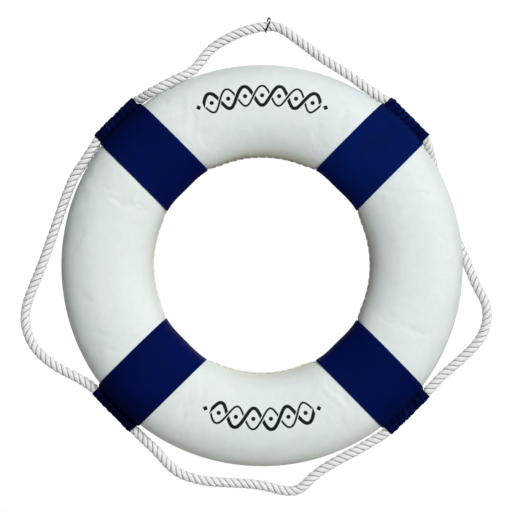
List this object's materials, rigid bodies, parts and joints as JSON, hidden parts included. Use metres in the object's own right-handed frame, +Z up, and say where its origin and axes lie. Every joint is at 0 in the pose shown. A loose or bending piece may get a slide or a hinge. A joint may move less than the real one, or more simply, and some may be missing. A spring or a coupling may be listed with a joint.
{
  "type": "ring lifebuoy",
  "caption": "Canvas-covered foam ring buoy with cloth bands, a looped grab rope held in sewn sleeves, and a wire hanger at the top.",
  "frame": {"origin": "middle of the foam ring, at mid depth", "axes": "+Z up as the ring hangs, +X to the right seen from the front, ring axis along Y with the front face towards -Y"},
  "size_m": [0.5875, 0.0816, 0.5973],
  "materials": {
    "foam": "closed-cell foam, matt",
    "canvas_white": "painted cotton canvas, matt, cool white",
    "canvas_navy": "navy cotton canvas, matt",
    "rope_white": "white three-strand laid rope",
    "cord_white": "waxed white whip cord",
    "thread_navy": "navy sewing thread",
    "wire_dark": "dark coated steel wire"
  },
  "bodies": {
    "root": {"foam_core_front": "foam", "foam_core_back": "foam", "cover_front_panel": "canvas_white", "cover_back_panel": "canvas_white", "outer_seam_thread": "cord_white", "inner_lacing": "cord_white", "band_upper_right": "canvas_navy", "band_upper_left": "canvas_navy", "band_lower_left": "canvas_navy", "band_lower_right": "canvas_navy", "sleeve_stitches_upper_right": "thread_navy", "sleeve_stitches_upper_left": "thread_navy", "sleeve_stitches_lower_left": "thread_navy", "sleeve_stitches_lower_right": "thread_navy", "rope_run_upper_right": "rope_white", "rope_run_upper_left": "rope_white", "rope_run_lower_left": "rope_white", "rope_run_lower_right": "rope_white", "rope_end_whipping": "cord_white"},
    "loop_top": {"rope_loop_top": "rope_white"},
    "loop_right": {"rope_loop_right": "rope_white"},
    "loop_bottom": {"rope_loop_bottom": "rope_white"},
    "loop_left": {"rope_loop_left": "rope_white"},
    "hanger": {"hanging_hook": "wire_dark"}
  },
  "joints": [
    {"name": "top_loop_swing", "type": "hinge", "parent": "root", "child": "loop_top", "pos_m": [0.0329, -0.00565, 0.22615], "axis": [0.9894, 0.0472, -0.1373], "range_deg": [-20, 35]},
    {"name": "right_loop_swing", "type": "hinge", "parent": "root", "child": "loop_right", "pos_m": [0.23325, 0.006, -0.0753], "axis": [-0.2893, -0.0728, -0.9545], "range_deg": [-45, 45]},
    {"name": "bottom_loop_swing", "type": "hinge", "parent": "root", "child": "loop_bottom", "pos_m": [-0.00195, 0, -0.21015], "axis": [-1, 0, 0.0069], "range_deg": [-40, 40]},
    {"name": "left_loop_swing", "type": "hinge", "parent": "root", "child": "loop_left", "pos_m": [-0.21075, 0, -0.0002], "axis": [0.0129, 0, 0.9999], "range_deg": [-20, 20]},
    {"name": "hanger_tilt", "type": "hinge", "parent": "loop_top", "child": "hanger", "pos_m": [0.0081, 0, 0.29933], "axis": [0.9995, 0.0025, 0.0327], "range_deg": [-35, 35]}
  ]
}
